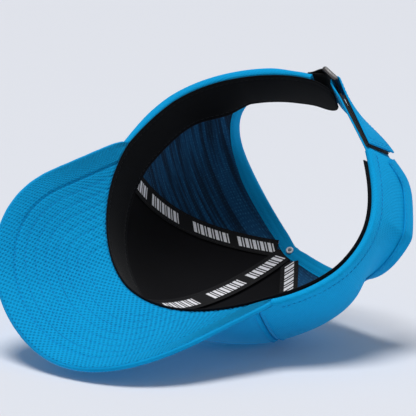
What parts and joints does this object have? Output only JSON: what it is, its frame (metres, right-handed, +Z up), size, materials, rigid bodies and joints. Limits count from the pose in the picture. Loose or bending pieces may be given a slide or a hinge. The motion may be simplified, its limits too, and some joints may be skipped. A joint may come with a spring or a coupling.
{
  "type": "sun visor",
  "caption": "Golf sun visor: curved bill, paneled front with the crown cut away behind, sweatband, and a hook-and-loop strap through a slide buckle.",
  "frame": {"origin": "centre of the head opening, at the height of its lower edge", "axes": "+Z up as worn, -Y forward along the bill, +X to the wearer's left"},
  "size_m": [0.1859, 0.259, 0.1285],
  "materials": {
    "shell_fabric": "polyester performance fabric, matt",
    "binding_fabric": "folded self-fabric binding",
    "bill_fabric": "dimple-knit polyester",
    "lining_fabric": "black backing cloth",
    "mesh_fabric": "dark navy backing mesh",
    "tape_fabric": "black seam tape with white marks",
    "sweatband_fabric": "brushed black knit",
    "foam": "soft foam sheet",
    "bill_core": "moulded polyethylene",
    "webbing": "black woven webbing",
    "strap_fabric": "self-fabric strap",
    "hook_loop": "hook and loop tape",
    "buckle_plastic": "moulded acetal, satin",
    "washer_metal": "plated"
  },
  "bodies": {
    "root": {"front_panel_left": "shell_fabric", "front_panel_right": "shell_fabric", "side_panel_left": "shell_fabric", "side_panel_right": "shell_fabric", "front_lining_left": "lining_fabric", "front_lining_right": "lining_fabric", "side_lining_left": "mesh_fabric", "side_lining_right": "mesh_fabric", "crown_binding_left": "binding_fabric", "crown_binding_right": "binding_fabric", "sweatband": "sweatband_fabric", "sweatband_foam": "foam", "seam_tape_center": "tape_fabric", "seam_tape_left": "tape_fabric", "seam_tape_right": "tape_fabric", "bill_under_cover": "bill_fabric", "bill_board": "bill_core", "bill_rim_seam": "bill_fabric", "bill_top_cover": "bill_fabric", "top_button": "shell_fabric", "button_washer": "washer_metal", "buckle_tab": "webbing", "closure_strap": "strap_fabric", "loop_patch": "hook_loop"},
    "buckle": {"buckle": "buckle_plastic"},
    "tongue": {"strap_tongue": "strap_fabric", "hook_patch": "hook_loop"}
  },
  "joints": [
    {"name": "buckle_swivel", "type": "hinge", "parent": "root", "child": "buckle", "pos_m": [0.0312, 0.086, 0.013], "axis": [0, 0, 1], "range_deg": [-3, 3]},
    {"name": "tongue_peel", "type": "hinge", "parent": "root", "child": "tongue", "pos_m": [0.021, 0.0862, 0.013], "axis": [0, 0, -1], "range_deg": [0, 150]}
  ]
}
